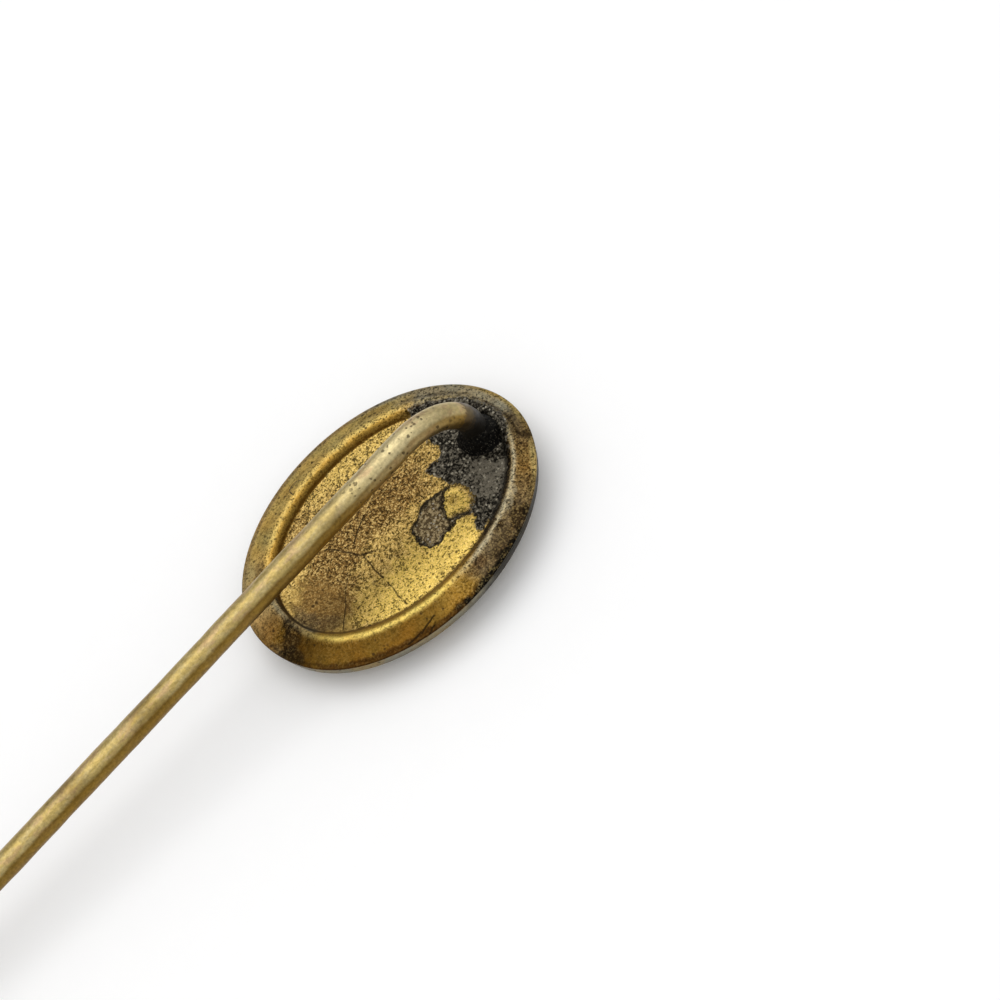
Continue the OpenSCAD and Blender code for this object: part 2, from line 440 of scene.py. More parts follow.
def plate_tone(points, turned, inset, torn, mm, hues):
    """The colour of the back plate at each point, from the tables of hues and stains, with a painted
    highlight along the crest and painted shade at the flange's lower edge.
    """
    hue_of = {key: np.array(getattr(hues, key)) for key in hues.__annotations__}
    moved = inset + 0.04 * rough(points, 2.2, 15)
    outer = round_rim(turned, EDGE_HUE, hue_of)
    tone = mixed(outer, round_rim(turned, FLANGE_HUE, hue_of), smooth_step((moved - EDGE_BAND) / EDGE_FADE))
    from_crest = moved - mm.crest_inset
    tone = mixed(tone, round_rim(turned, WALL_HUE, hue_of), smooth_step(from_crest / WALL_FADE))
    # The crest's band: rubbed gilt, with a painted highlight along the ridge
    tone = mixed(tone, round_rim(turned, CREST_RUB_AND_HIGHLIGHT_HUE, hue_of), np.exp(-((from_crest / CREST_RUB_AND_HIGHLIGHT_BAND) ** 2)))
    tint = 0.12 * rough(points, 1.3, 16)
    tone = tone * (1 + tint[..., None] * np.array((1, 0, -1.5)))
    for stain in RIM_STAINS:
        tone = mixed(tone, hue_of[stain[HUE]], rim_stain_strength(stain, turned, moved, torn))
    edge_line = np.exp(-(((inset - LINE_INSET) / LINE_BAND) ** 2))
    tone = tone * (1 - 0.35 * edge_line[..., None])

    panel = np.broadcast_to(hue_of["worn_gilt"], tone.shape)
    loose = warped(points, 0.4, 0.8, 3)
    for stain in PANEL_STAINS:
        panel = mixed(panel, hue_of[stain[STAIN_HUE]], stain_strength(stain, loose, torn))
    return mixed(tone, panel, smooth_step((inset - mm.crest_inset - mm.crest_wall + 0.08) / 0.1))


# The rim's bent place: its angle and spread in degrees, and how far it is bent in, in millimetres
BENT_ANGLE = -172
BENT_SPREAD = 28
BENT_BY = 0.17

# How far the front plate sits off centre across the head, in millimetres
FRONT_OFFSET = 0.07

# How far up the flange its crest starts to round over, as a share of the way, and how much the crest adds
CREST_START = 0.55
CREST_ROUND = 0.2


def around(sides):
    """The angles of the points of a ring, in radians."""
    return np.linspace(0, 2 * pi, sides, endpoint=False)


def oval_rings(rows, sides):
    """Rings of points from rows of half length, half width, height and distance off centre."""
    angle = around(sides)
    rows = np.asarray(rows, float)
    half_l, half_w, height, shift = (rows[:, column, None] for column in range(4))
    level = height * np.ones_like(angle)
    return np.stack([shift + half_l * np.cos(angle), half_w * np.sin(angle), level], -1)


def inward(mm, inset, height, shift=0.0):
    """The row of a section that lies a distance in from the head's edge."""
    return (mm.head_l / 2 - inset, mm.head_w / 2 - inset, height, shift)


def pushed_in(angle):
    """How far the rim at the stem's end of the head is bent in along the head, in millimetres."""
    return BENT_BY * np.exp(-((turn_from(angle, BENT_ANGLE) / BENT_SPREAD) ** 2))


def flange_rise(share):
    """Height of the flange as a share of the crest's, from the edge at 0 to the crest's rounded top at 1."""
    crest = smooth_step((share - CREST_START) / (1 - CREST_START))
    return share - CREST_ROUND * share**5 + CREST_ROUND * crest


# Material nodes
class Varying:
    """What a node gives, which varies over the surface. A sum with it adds the node that does the sum."""

    def __init__(self, socket):
        self.socket = socket
        self.tree = socket.id_data

    def calc(self, operation, *others):
        """One sum of this value and up to two others."""
        values = dict(enumerate((self, *others)))
        return add_node(self.tree, "Math", {"operation": operation}, values)

    def __add__(self, other):
        return self.calc("ADD", other)

    def __sub__(self, other):
        return self.calc("SUBTRACT", other)

    def __rsub__(self, other):
        return self.calc("MULTIPLY_ADD", -1.0, other)

    def __mul__(self, other):
        return self.calc("MULTIPLY", other)

    def __abs__(self):
        return self.calc("ABSOLUTE")


def plug(node, inputs):
    """Sets a node's inputs, each to what varies or to a number, a place or a colour."""
    for key, value in inputs.items():
        socket = node.inputs[key]
        if isinstance(value, Varying):
            node.id_data.links.new(value.socket, socket)
        elif socket.type == "RGBA":
            socket.default_value = (*value, 1.0)
        else:
            socket.default_value = value


def add_node(tree, kind, settings=None, inputs=None, output=0):
    """Adds one shader node of a kind, such as Math, sets it up and returns one of its outputs."""
    made = tree.nodes.new("ShaderNode" + kind)
    for key, value in (settings or {}).items():
        setattr(made, key, value)
    plug(made, inputs or {})
    return Varying(made.outputs[output])


def vector_calc(operation, *values, output=0):
    """One sum of places, or of colours, of which the first varies."""
    inputs = dict(enumerate(values))
    return add_node(values[0].tree, "VectorMath", {"operation": operation}, inputs, output)


def scaled(colour_or_place, factor):
    """A colour or a place multiplied by a factor."""
    inputs = {0: colour_or_place, "Scale": factor}
    return add_node(colour_or_place.tree, "VectorMath", {"operation": "SCALE"}, inputs)


def span(value, low, high, at_low=0.0, at_high=1.0):
    """Eases from at_low to at_high as the value goes from low to high."""
    inputs = {"Value": value, "From Min": low, "From Max": high, "To Min": at_low, "To Max": at_high}
    return add_node(value.tree, "MapRange", {"interpolation_type": "SMOOTHSTEP"}, inputs)


# The sockets of a mix of colours
MIX_SHARE, MIX_FIRST, MIX_SECOND, MIX_RESULT = 0, 6, 7, 2


def blend(share, first, second):
    """Mixes two colours: the first at a share of 0, and the second at 1."""
    inputs = {MIX_SHARE: share, MIX_FIRST: first, MIX_SECOND: second}
    return add_node(share.tree, "Mix", {"data_type": "RGBA"}, inputs, MIX_RESULT)


def painted(tree, key, output="Fac"):
    """A value painted on the piece's points, or their colour from the output Color."""
    return add_node(tree, "Attribute", {"attribute_name": key}, None, output)


def grain(place, scale, detail=3.0, roughness=0.6, output=0):
    """Noise from 0 to 1 with bumps one over scale millimetres wide."""
    inputs = {"Vector": place, "Scale": scale, "Detail": detail, "Roughness": roughness}
    return add_node(place.tree, "TexNoise", None, inputs, output)


def dots(place, scale):
    """Random dots one over scale millimetres apart: distance from the nearest, and its own random number."""
    near = add_node(place.tree, "TexVoronoi", None, {"Vector": place, "Scale": scale})
    own_colour = Varying(near.socket.node.outputs["Color"])
    return near, add_node(place.tree, "SeparateXYZ", None, {0: own_colour})


def spots(place, scale, radius, share):
    """1 on uneven spots at a share of a field of random dots. The radius is a share of their spacing."""
    near, chance = dots(place, scale)
    uneven = near + (grain(place, 2.2 * scale, 2.0) - 0.5) * 0.5
    return span(uneven, radius * 0.5, radius, 1.0, 0.0) * chance.calc("LESS_THAN", share)


def head_place(tree, mm):
    """The point's place in the level head's frame, in millimetres."""
    centre = [value * MM for value in mm.head_centre]
    leaned = add_node(tree, "TexCoord", output="Object")
    inputs = {"Vector": leaned, "Location": centre, "Rotation": (0, -mm.lean, 0)}
    return scaled(add_node(tree, "Mapping", {"vector_type": "TEXTURE"}, inputs), 1 / MM)


def scratch(place, start, end, width):
    """1 on a straight scratch between two places on the plate, falling to 0 at its sides and ends."""
    start, end = Vector((*start, 0)), Vector((*end, 0))
    half = (end - start).length / 2
    axis = (end - start).normalized()
    away = vector_calc("SUBTRACT", place, (start + end) / 2)
    along = vector_calc("DOT_PRODUCT", away, axis, output=1)
    across = vector_calc("DOT_PRODUCT", away, (-axis.y, axis.x, 0), output=1)
    near = span(abs(across), 0.0, width, 1.0, 0.0)
    return near * span(abs(along), half - width, half + width, 1.0, 0.0)


def new_material(name):
    """A material with nothing in it but its output and one metal shader."""
    material = bpy.data.materials.new(name)
    material.use_nodes = True
    tree = material.node_tree
    tree.nodes.clear()
    output = tree.nodes.new("ShaderNodeOutputMaterial")
    shader = tree.nodes.new("ShaderNodeBsdfPrincipled")
    tree.links.new(shader.outputs[0], output.inputs[0])
    return material, tree, shader


def bumped(height, distance, strength=1.0, below=None):
    """A normal that a height from 0 to 1 bends. The distance is the height of 1, in millimetres."""
    inputs = {"Height": height, "Distance": distance * MM, "Strength": strength}
    if below is not None:
        inputs["Normal"] = below
    return add_node(height.tree, "Bump", None, inputs)


# Fine scratches on the plate: start and end along and across the head, and width, in millimetres
SCRATCHES = (
    ((-1.56, -0.15), (-1.67, -1.60), 0.055),
    ((-1.67, -1.80), (-1.78, -3.24), 0.05),
    ((-0.30, 1.26), (-0.84, 0.97), 0.045),
    ((-0.84, 0.97), (-1.43, 0.63), 0.045),
    ((-3.50, -1.22), (-4.22, -1.96), 0.045),
    ((-2.49, -0.18), (-3.50, -1.22), 0.025),
    ((-2.40, 1.39), (-2.00, 0.85), 0.05),
    ((-2.00, 0.85), (-1.60, -0.02), 0.07),
    ((-1.60, -0.02), (-1.05, -0.37), 0.06),
    ((-2.98, -0.08), (-2.92, -0.14), 0.07),
    ((-3.60, -0.60), (-3.54, -0.66), 0.07),
    ((-2.10, -1.38), (-2.04, -1.48), 0.08),
    ((-1.70, 4.2), (-1.69, 4.51), 0.05),
    ((-1.69, 4.51), (-1.40, 4.63), 0.05),
    ((-1.40, 4.63), (-1.13, 4.61), 0.04),
    ((-1.13, 4.61), (-1.0, 4.42), 0.03),
    ((-1.37, -4.63), (-2.15, -4.72), 0.05),
    ((-2.15, -4.72), (-2.93, -4.66), 0.05),
    ((-1.5, -4.85), (-2.06, -5.04), 0.05),
)


def gilt_material(mm, hues):
    """Aged gilt: speckled gold, brown tarnish, hollows darkened by dirt and painted shade, and the black
    glittering run of the solder with a painted sheen where it lies smooth.
    """
    material, tree, shader = new_material("aged_gilt")
    place = head_place(tree, mm)
    fine = grain(place, 13.0, 2.0)
    coarse = grain(place, 2.6, 4.0)
    cloud = grain(place, 5.0)
    grainy = painted(tree, "grainy")

    # Speckle: dark grains that crowd where the gilt has worn, bright flecks, and soft clouds
    chance = dots(place, 11.0)[1] - 0.5
    level = fine + (coarse - 0.5) * 0.3 + chance * 0.2 - painted(tree, "worn") * 0.04
    speck = span(level, 0.36, 0.48, 1.0, 0.0)
    fleck = span(grain(place, 14.0, 2.0, 0.7) + chance * 0.2, 0.52, 0.64)
    light = (fleck * 0.3 - speck * 0.76) * grainy + 1.0
    gleaming = fleck * painted(tree, "flecked")
    base = blend(gleaming, painted(tree, "tone", "Color"), hues.fleck)
    base = scaled(base, light * (cloud + 0.5))

    # Pits: small round dark spots
    pits = spots(place, 4.0, 0.34, 0.5) * span(coarse, 0.42, 0.58)
    base = blend(pits * 0.8, base, hues.dark)

    # Dirt and painted shade in the hollows
    torn = (cloud - 0.5) * 1.4 + chance * 0.4
    hollow_dirt_and_shade = span(painted(tree, "hollow_dirt_and_shade") + torn, 0.1, 0.9)
    base = blend(hollow_dirt_and_shade * 0.9, base, hues.dirt_and_shade)

    # Scratches, which waver a little and are broken in places
    sway = vector_calc("SUBTRACT", grain(place, 2.5, 2.0, 0.5, output=1), (0.5, 0.5, 0.5))
    wavering = vector_calc("MULTIPLY_ADD", sway, (0.16, 0.16, 0.0), place)
    lines = [scratch(wavering, *row) for row in SCRATCHES]
    scored = lines[0]
    for line in lines[1:]:
        scored = scored.calc("MAXIMUM", line)
    broken = scored * span(cloud, 0.3, 0.5)
    base = blend(broken * 0.85, base, hues.dark)

    # The solder's run: black grit that glitters, and greyer where it lies smooth, a painted sheen there
    ragged = (cloud - 0.5) * 0.5 + chance * 0.12
    soot = span(painted(tree, "soot_in") + ragged, -0.06, 0.06)
    grit = grain(place, 11.0, 3.0, 0.75)
    glint = spots(place, 6.5, 0.4, 0.5)
    greyer = span(grit + chance * 0.3 + painted(tree, "ash_and_sheen") * 0.2, 0.40, 0.74)
    soot_hue = blend(greyer, hues.soot, hues.ash_and_sheen)
    soot_hue = blend(glint * 0.5, soot_hue, hues.glitter)

    # Its lobe: thinner and browner, with a black outline
    lobe_depth = painted(tree, "lobe_in") + ragged * 0.6
    lobe = span(lobe_depth, -0.03, 0.04)
    lobe_edge = span(lobe_depth, 0.06, 0.28, 1.0, 0.0)
    lobe_hue = blend(span(greyer, 0.15, 0.6), hues.drab, hues.lobe)
    lobe_hue = blend(glint * 0.6, lobe_hue, hues.glitter)
    lobe_hue = blend(lobe_edge * 0.9, lobe_hue, hues.soot)
    base = blend(lobe, base, lobe_hue)
    base = blend(soot, base, soot_hue)

    dull = speck * 0.1 + hollow_dirt_and_shade * 0.12 + 0.38
    normal = bumped(fine, 0.010, grainy)
    normal = bumped(grit, 0.045, soot.calc("MAXIMUM", lobe), normal)
    normal = bumped(broken, -0.02, 1.0, normal)
    plug(shader, {"Base Color": base, "Metallic": 1.0, "Roughness": dull, "Normal": normal})
    return material


class PIN_OT_back_plate(bpy.types.Operator):
    """Add the stamped back plate: flange, crest and sunken panel, with the solder's run on it"""

    bl_idname = "pin.back_plate"
    bl_label = "Back plate"

    SIDES = 600
    EDGE_ROWS = 6
    FLANGE_ROWS = 26
    WALL_ROWS = 12
    PANEL_ROWS = 74

    # Size of the panel's innermost ring, as a share of the panel
    CENTRE_SHARE = 0.02

    # The first rows are the core, which stands in the front plate and is off centre with it
    CORE_ROWS = 2

    # How far the crest and the panel sit off centre across the head, in millimetres
    SIDESTEP = 0.12

    # The dent in the crest at the stem's end of the head: depth in millimetres, angle and spread in degrees
    DENT = 0.12
    DENT_ANGLE = 175
    DENT_SPREAD = 15

    # Heights of the relief in millimetres: broad and small waves, and the solder's run with its own grain
    BROAD_WAVE = 0.012
    SMALL_WAVE = 0.006
    CRUST = 0.035
    CRUST_GRAIN = 0.02

    def execute(self, context):
        mm = settle(context.scene.pin_sizes)
        hues = context.scene.pin_colours
        rows, inset_of, on_top = [], [], []

        def row(inset, height, shift=0.0, top=0.0):
            rows.append(inward(mm, inset, height, shift))
            inset_of.append(inset)
            on_top.append(top)

        row(mm.core_inset, mm.plate_bottom)
        row(mm.core_inset, -mm.edge_t)
        round_r = mm.edge_t / 2
        for angle in np.linspace(-pi / 2, pi / 2, self.EDGE_ROWS + 1):
            row(round_r * (1 - cos(angle)), round_r * (sin(angle) - 1))
        for share in np.linspace(0, 1, self.FLANGE_ROWS + 1)[1:]:
            inset = round_r + share * (mm.crest_inset - round_r)
            row(inset, mm.crest_h * flange_rise(share), share * mm.crest_shift, share)
        for share in np.linspace(0, 1, self.WALL_ROWS + 1)[1:]:
            drop = (mm.crest_h + mm.panel_drop) * (1 - cos(pi * share * share)) / 2
            row(mm.crest_inset + share * mm.crest_wall, mm.crest_h - drop, mm.crest_shift, 1.0)
        panel_inset = mm.crest_inset + mm.crest_wall
        half_l, half_w = mm.head_l / 2 - panel_inset, mm.head_w / 2 - panel_inset
        for share in np.linspace(1, self.CENTRE_SHARE, self.PANEL_ROWS + 1)[1:]:
            rows.append((half_l * share, half_w * share, mm.panel_z, mm.crest_shift))
            inset_of.append(panel_inset + (1 - share) * half_w)
            on_top.append(1.0)

        rings = oval_rings(rows, self.SIDES)
        inset, top = (np.tile(np.array(column)[:, None], self.SIDES) for column in (inset_of, on_top))
        angle = np.tile(np.degrees(around(self.SIDES)), (len(rows), 1))
        depth = (inset - mm.crest_inset) / mm.crest_wall
        dent = self.DENT * top * np.exp(-((turn_from(angle, self.DENT_ANGLE) / self.DENT_SPREAD) ** 2))
        rings[..., 0] += (dent + pushed_in(angle)) * (1 - smooth_step(depth))
        rings[..., 1] += self.SIDESTEP * top
        rings[: self.CORE_ROWS, :, 1] += FRONT_OFFSET

        # What the materials read: places and bearings that noise makes ragged, and a value for each finish
        ragged = warped(rings, 0.12, 2.5, 1)
        torn = rough(rings, 3.5, 9)
        turned = angle + 4 * rough(rings, 1.1, 14)
        on_panel = smooth_step((inset - panel_inset + 0.1) / 0.1)
        on_crest = np.exp(-(((inset - mm.crest_inset + 0.05) / 0.2) ** 2))
        bright = [stain for stain in PANEL_STAINS if stain[STAIN_HUE] == "gilt"]
        # The bright gilt of the panel's stains, and the painted sheen of the soot's smooth places
        gleam, sheen_share = (sum(stain_strength(stain, ragged, torn) for stain in group) for group in (bright, SHEEN_PLACES))
        calm = stain_strength(CALM, ragged, torn)
        graininess = round_rim(turned, GRAIN) + 0.3 * on_crest
        fields = {
            "tone": plate_tone(rings, turned, inset, torn, mm, hues),
            "soot_in": inside(SOOT_OUTLINE, ragged),
            "lobe_in": inside(LOBE_OUTLINE, ragged),
            "ash_and_sheen": np.clip(sheen_share, 0, 1),
            "grainy": np.clip(graininess + (1 - calm - graininess) * on_panel, 0, 1),
            "worn": on_panel * (1 - np.clip(gleam, 0, 1)),
            "flecked": (0.14 * graininess * (1 - on_panel) + 0.4 * on_panel) * (1 - calm),
        }

        # Dirt and painted shade in the corner at the foot of the crest's wall, higher up the wall where there
        # is more of both
        dirt_and_shade_share = round_rim(turned, DIRT_AND_SHADE)
        dirt_and_shade = smooth_step((depth - 0.88 + 0.4 * dirt_and_shade_share) / (0.2 + 0.15 * dirt_and_shade_share))
        dirt_and_shade *= 1 - smooth_step((depth - 0.84) / 0.18)
        fields["hollow_dirt_and_shade"] = dirt_and_shade * np.clip(3 * dirt_and_shade_share, 0, 1)

        # Relief: gentle waves, and the thickness of the solder's run
        waves = self.BROAD_WAVE * rough(rings, 0.5, 5) + self.SMALL_WAVE * rough(rings, 1.6, 6)
        run = smooth_step((np.maximum(fields["soot_in"], fields["lobe_in"]) + 0.03) / 0.12)
        crust = run * (self.CRUST + self.CRUST_GRAIN * rough(rings, 5.0, 7))
        rings[..., 2] += top * (waves + crust)

        add_piece("back_plate", rings, mm, gilt_material(mm, hues), "pin_back", fields)
        return {"FINISHED"}


def stem_line(mm, steps_of):
    """Points along the stem's middle, the way each one faces, and its wire's radius."""
    places, ways, radii = [], [], []

    def put(x, z, angle, radius):
        places.append((x, 0.0, z))
        ways.append((cos(angle), 0.0, sin(angle)))
        radii.append(radius)

    start = mm.panel_z - mm.panel_t / 2
    for z in np.linspace(start, mm.rise, steps_of.rise, endpoint=False):
        put(mm.foot_out, z, pi / 2, mm.wire_r)
    for angle in np.linspace(0, pi / 2 + mm.fall, steps_of.bend, endpoint=False):
        x = mm.bend_x + mm.bend_r * cos(angle)
        z = mm.rise + mm.bend_r * sin(angle)
        put(x, z, angle + pi / 2, mm.wire_r)
    for run in np.linspace(0, mm.stem_run, steps_of.shank + 1):
        share = max(0.0, (run - mm.stem_run + mm.point_l) / mm.point_l)
        radius = mm.wire_r + (mm.tip_r - mm.wire_r) * share
        x = mm.shank_x - run * cos(mm.fall)
        put(x, mm.shank_z - run * sin(mm.fall), pi + mm.fall, radius)
    return np.array(places), np.array(ways), np.array(radii)


def wire_material(mm, hues):
    """Drawn brass wire: pale olive gold with lengthwise streaks, pits, and darker tarnish with painted shade
    on its under side.
    """
    material, tree, shader = new_material("stem_brass")
    place = head_place(tree, mm)
    inputs = {"Vector": place, "Scale": (0.35, 1.0, 1.0)}
    stretched = add_node(tree, "Mapping", None, inputs)
    streak = grain(stretched, 4.5)
    pink = grain(stretched, 2.3, 3.0, 0.65)
    cloud = grain(place, 0.45, 3.0, 0.55)
    fine = grain(place, 8.0, 2.0)
    near_bend = painted(tree, "near_bend")

    # Pale and pinkish streaks, darker clouds, and tarnish with painted shade on the under side
    base = blend(span(streak, 0.4, 0.7, 0.0, 0.4), hues.wire, hues.wire_pale)
    base = blend(near_bend * 0.75, base, hues.wire_pale)
    base = blend(span(pink, 0.5, 0.66, 0.0, 0.6), base, hues.wire_pink)
    base = blend(span(cloud, 0.48, 0.72, 0.0, 0.5), base, hues.wire_dark)
    # The under side darkened with tarnish and painted shade
    under = span(painted(tree, "under") + (pink - 0.5) * 1.2, 0.1, 0.9)
    base = blend(under * span(near_bend, 0.3, 1.0, 0.88, 0.6), base, hues.wire_under_tarnish_and_shade)
    base = scaled(base, fine + 0.5)

    # Pits, most of them near the bend
    pits = spots(place, 3.6, 0.34, 0.3).calc("MAXIMUM", spots(place, 6.0, 0.4, 0.2))
    pits = pits * span(near_bend, 0.0, 0.8, 0.1, 0.7)
    base = blend(pits, base, hues.dark)

    # The foot, scorched and then burnt black
    heat = painted(tree, "sooty") + (fine - 0.5) * 0.6
    burnt = span(heat, 0.55, 1.15)
    base = blend(span(heat, 0.3, 0.5) * 0.9, base, hues.drab)
    base = blend(burnt * 0.96, base, hues.char)

    metal = 1.0 - burnt * 0.5
    dull = span(streak, 0.3, 0.7, 0.34, 0.5)
    normal = bumped(1.0 - pits, 0.02, 1.0, bumped(streak, 0.02))
    plug(shader, {"Base Color": base, "Metallic": metal, "Roughness": dull, "Normal": normal})
    return material


class PIN_OT_stem(bpy.types.Operator):
    """Add the stem: the rise from the plate, the bend, the straight shank and the point"""

    bl_idname = "pin.stem"
    bl_label = "Stem"

    SIDES = 64
    STEPS = SimpleNamespace(rise=16, bend=60, shank=720)

    # The point's blunt end: its rows, and how far it bulges as a share of its radius
    TIP_ROWS = 5
    TIP_BULGE = 0.3

    # The wire's long and short unevenness, in millimetres
    LONG_DENT = 0.016
    SHORT_DENT = 0.006

    # The rubbed stretch, from the bend's end to its middle, and its spread, in millimetres
    RUBBED_AFTER = 0.5
    RUBBED_SPREAD = 3.0

    # The scorched stretch, from the bend's start to where it begins to fade, and its fade, in millimetres
    SOOT_AFTER = 0.15
    SOOT_FADE = 1.9

    def execute(self, context):
        mm = settle(context.scene.pin_sizes)
        places, ways, radii = stem_line(mm, self.STEPS)
        for angle in np.linspace(0, pi / 2, self.TIP_ROWS + 2)[1:-1]:
            step = ways[-1] * mm.tip_r * sin(angle) * self.TIP_BULGE
            places = np.append(places, [places[-1] + step], 0)
            ways = np.append(ways, ways[-1:], 0)
            radii = np.append(radii, mm.tip_r * cos(angle))
        across = np.tile((0.0, 1.0, 0.0), (len(places), 1))
        upward = np.cross(ways, across)
        angle = around(self.SIDES)[None, :, None]
        out = np.cos(angle) * across[:, None] + np.sin(angle) * upward[:, None]
        rings = places[:, None] + out * radii[:, None, None]
        dents = self.LONG_DENT * rough(rings, 0.7, 11) + self.SHORT_DENT * rough(rings, 2.5, 12)
        rings += out * (dents * np.clip(radii / mm.wire_r, 0, 1)[:, None])[..., None]

        gone = np.concatenate([[0], np.cumsum(np.linalg.norm(np.diff(places, axis=0), axis=1))])
        along = np.repeat(gone[:, None], self.SIDES, 1)
        bend_start = mm.rise - mm.panel_z + mm.panel_t / 2
        bend_end = bend_start + mm.bend_r * pi / 2
        from_rubbed = (along - bend_end - self.RUBBED_AFTER) / self.RUBBED_SPREAD
        from_soot = (along - bend_start - self.SOOT_AFTER) / self.SOOT_FADE
        height = np.sin(np.tile(around(self.SIDES), (len(places), 1)))
        fields = {
            "near_bend": np.exp(-(from_rubbed**2)),
            "sooty": 1.2 * (1 - smooth_step(from_soot)),
            # The under side, which gets tarnish and painted shade
            "under": smooth_step((0.85 + height) / 0.45),
        }
        material = wire_material(mm, context.scene.pin_colours)
        add_piece("stem", rings, mm, material, "pin_back", fields)
        return {"FINISHED"}


def solder_material(mm, hues):
    """The solder round the foot: black, lumpy and glittering."""
    material, tree, shader = new_material("burnt_solder")
    place = head_place(tree, mm)
    fine = grain(place, 7.0)
    sparkle = span(grain(place, 14.0, 1.0), 0.6, 0.72)
    base = blend(span(fine, 0.35, 0.7), hues.char, hues.soot)
    base = blend(sparkle * 0.2, base, hues.glitter)
    metal = span(sparkle, 0.0, 1.0, 0.3, 0.9)
    dull = span(fine, 0.3, 0.7, 0.7, 0.5)
    plug(shader, {"Base Color": base, "Metallic": metal, "Roughness": dull, "Normal": bumped(fine, 0.06)})
    shader.inputs["Specular IOR Level"].default_value = 0.1
    return material


class PIN_OT_solder(bpy.types.Operator):
    """Add the lumpy solder that holds the stem's foot"""

    bl_idname = "pin.solder"
    bl_label = "Solder"

    SIDES = 96
    ROWS = 30

    # How steeply the solder thins as it climbs: 1 is a cone, and less is hollower
    HOLLOW = 0.55

    # The thin coat on the wire: how far it climbs past the solder, and its thickness, in millimetres
    CLIMB = 0.25
    COAT = 0.09

    # Heights of the lumps and of their grain, in millimetres
    LUMP = 0.09
    LUMP_GRAIN = 0.04

    def execute(self, context):
        mm = settle(context.scene.pin_sizes)
        angle = around(self.SIDES)
        out = np.stack([np.cos(angle), np.sin(angle), np.zeros_like(angle)], -1)
        low = mm.panel_z - mm.panel_t / 2
        rings = []
        for share in np.linspace(0, 1, self.ROWS + 1):
            height = low + (mm.solder_h + self.CLIMB + mm.panel_t / 2) * share
            spread = mm.solder_w * (1 - share) ** (1 / self.HOLLOW)
            reach = mm.wire_r + self.COAT * (1 - 2 * share**4) + spread
            rings.append((mm.foot_out, 0, height) + reach * out)
        rings = np.array(rings)
        lumps = self.LUMP * rough(rings, 1.6, 21) + self.LUMP_GRAIN * rough(rings, 4.0, 22)
        rings += out * lumps[..., None]
        material = solder_material(mm, context.scene.pin_colours)
        add_piece("solder", rings, mm, material, "pin_back")
        return {"FINISHED"}


def front_material(mm, hues):
    """The front plate: dull grey-olive metal, rubbed on the dome."""
    material, tree, shader = new_material("front_brass")
    place = head_place(tree, mm)
    cloud = grain(place, 0.6, 4.0)
    fine = grain(place, 8.0, 2.0)
    base = blend(span(cloud, 0.4, 0.7, 0.0, 0.6), hues.front, hues.worn_gilt)
    base = blend(span(fine, 0.5, 0.7, 0.0, 0.5), base, hues.brown)
    base = blend(spots(place, 4.0, 0.3, 0.4) * 0.7, base, hues.dark)
    base = blend(painted(tree, "blackened"), base, hues.soot)
    dull = span(cloud, 0.3, 0.7, 0.38, 0.52)
    plug(shader, {"Base Color": base, "Metallic": 0.85, "Roughness": dull, "Normal": bumped(fine, 0.012)})
    return material


class PIN_OT_front_plate(bpy.types.Operator):
    """Add the front plate: a rim round the back plate and a plain low dome"""

    bl_idname = "pin.front_plate"
    bl_label = "Front plate"

    SIDES = 360
    DOME_ROWS = 60

    # Size of the dome's innermost ring, as a share of the dome
    CENTRE_SHARE = 0.01

    # The bevel of the rim's outer edge, and the height of the dome's waves, in millimetres
    SHOULDER = 0.06
    WAVE = 0.006

    # The black stretch of the side, in the columns of the rim's stains
    BLACKENED = ("soot", -50, 0.0, 34, 1.0, 0.9)

    # How far below the side's foot the black fades out, in millimetres
    FADE = 0.3

    def execute(self, context):
        mm = settle(context.scene.pin_sizes)
        half_l = mm.head_l / 2 - mm.front_inset
        half_w = mm.head_w / 2 - mm.front_inset
        rows = []
        for share in np.linspace(self.CENTRE_SHARE, 1, self.DOME_ROWS + 1):
            rows.append((half_l * share, half_w * share, mm.dome_edge - mm.dome_h * (1 - share**2), 0.0))
        for inset, height in (
            (0, (mm.dome_edge + mm.rim_top) / 2),
            (0, mm.rim_top - self.SHOULDER),
            (self.SHOULDER, mm.rim_top),
            (mm.rim_t, mm.rim_top),
            (mm.rim_t, mm.floor_z),
        ):
            rows.append(inward(mm, mm.front_inset + inset, height))
        rings = oval_rings(rows, self.SIDES)
        rings[: self.DOME_ROWS, :, 2] += self.WAVE * rough(rings[: self.DOME_ROWS], 0.8, 31)
        angle = np.tile(np.degrees(around(self.SIDES)), (len(rows), 1))
        share = np.clip(np.arange(len(rows)) / self.DOME_ROWS, 0, 1)[:, None]
        rings[..., 0] += pushed_in(angle) * share**2
        rings[..., 1] += FRONT_OFFSET * share**2
        torn = rough(rings, 2.0, 32)
        black = rim_stain_strength(self.BLACKENED, angle, np.zeros_like(angle), torn)
        black *= smooth_step((rings[..., 2] - mm.dome_edge + self.FADE) / self.FADE)
        material = front_material(mm, context.scene.pin_colours)
        fields = {"blackened": black}
        add_piece("front_plate_dome", rings, mm, material, "front_plate", fields)
        return {"FINISHED"}


def floor_material(hues):
    """A plain pale surface with a faint tooth."""
    material, tree, shader = new_material("pale_floor")
    place = add_node(tree, "TexCoord", output="Object")
    near = tuple(value * 0.985 for value in hues.floor)
    plug(shader, {"Base Color": blend(grain(place, 900.0, 2.0), hues.floor, near), "Roughness": 0.9})
    shader.inputs["Specular IOR Level"].default_value = 0.1
    return material


def camera_axes(stage, mm):
    """The camera's right, up and back directions, as columns, in the leaned pin's frame."""
    spin = Matrix.Rotation(stage.turn, 3, "Z")
    hinge = Vector((-sin(stage.tilt_way), cos(stage.tilt_way), 0))
    head_to_picture = Matrix.Rotation(stage.tilt, 3, hinge) @ spin
    head_to_pin = Matrix.Rotation(-mm.lean, 3, "Y")
    return head_to_pin @ head_to_picture.transposed()


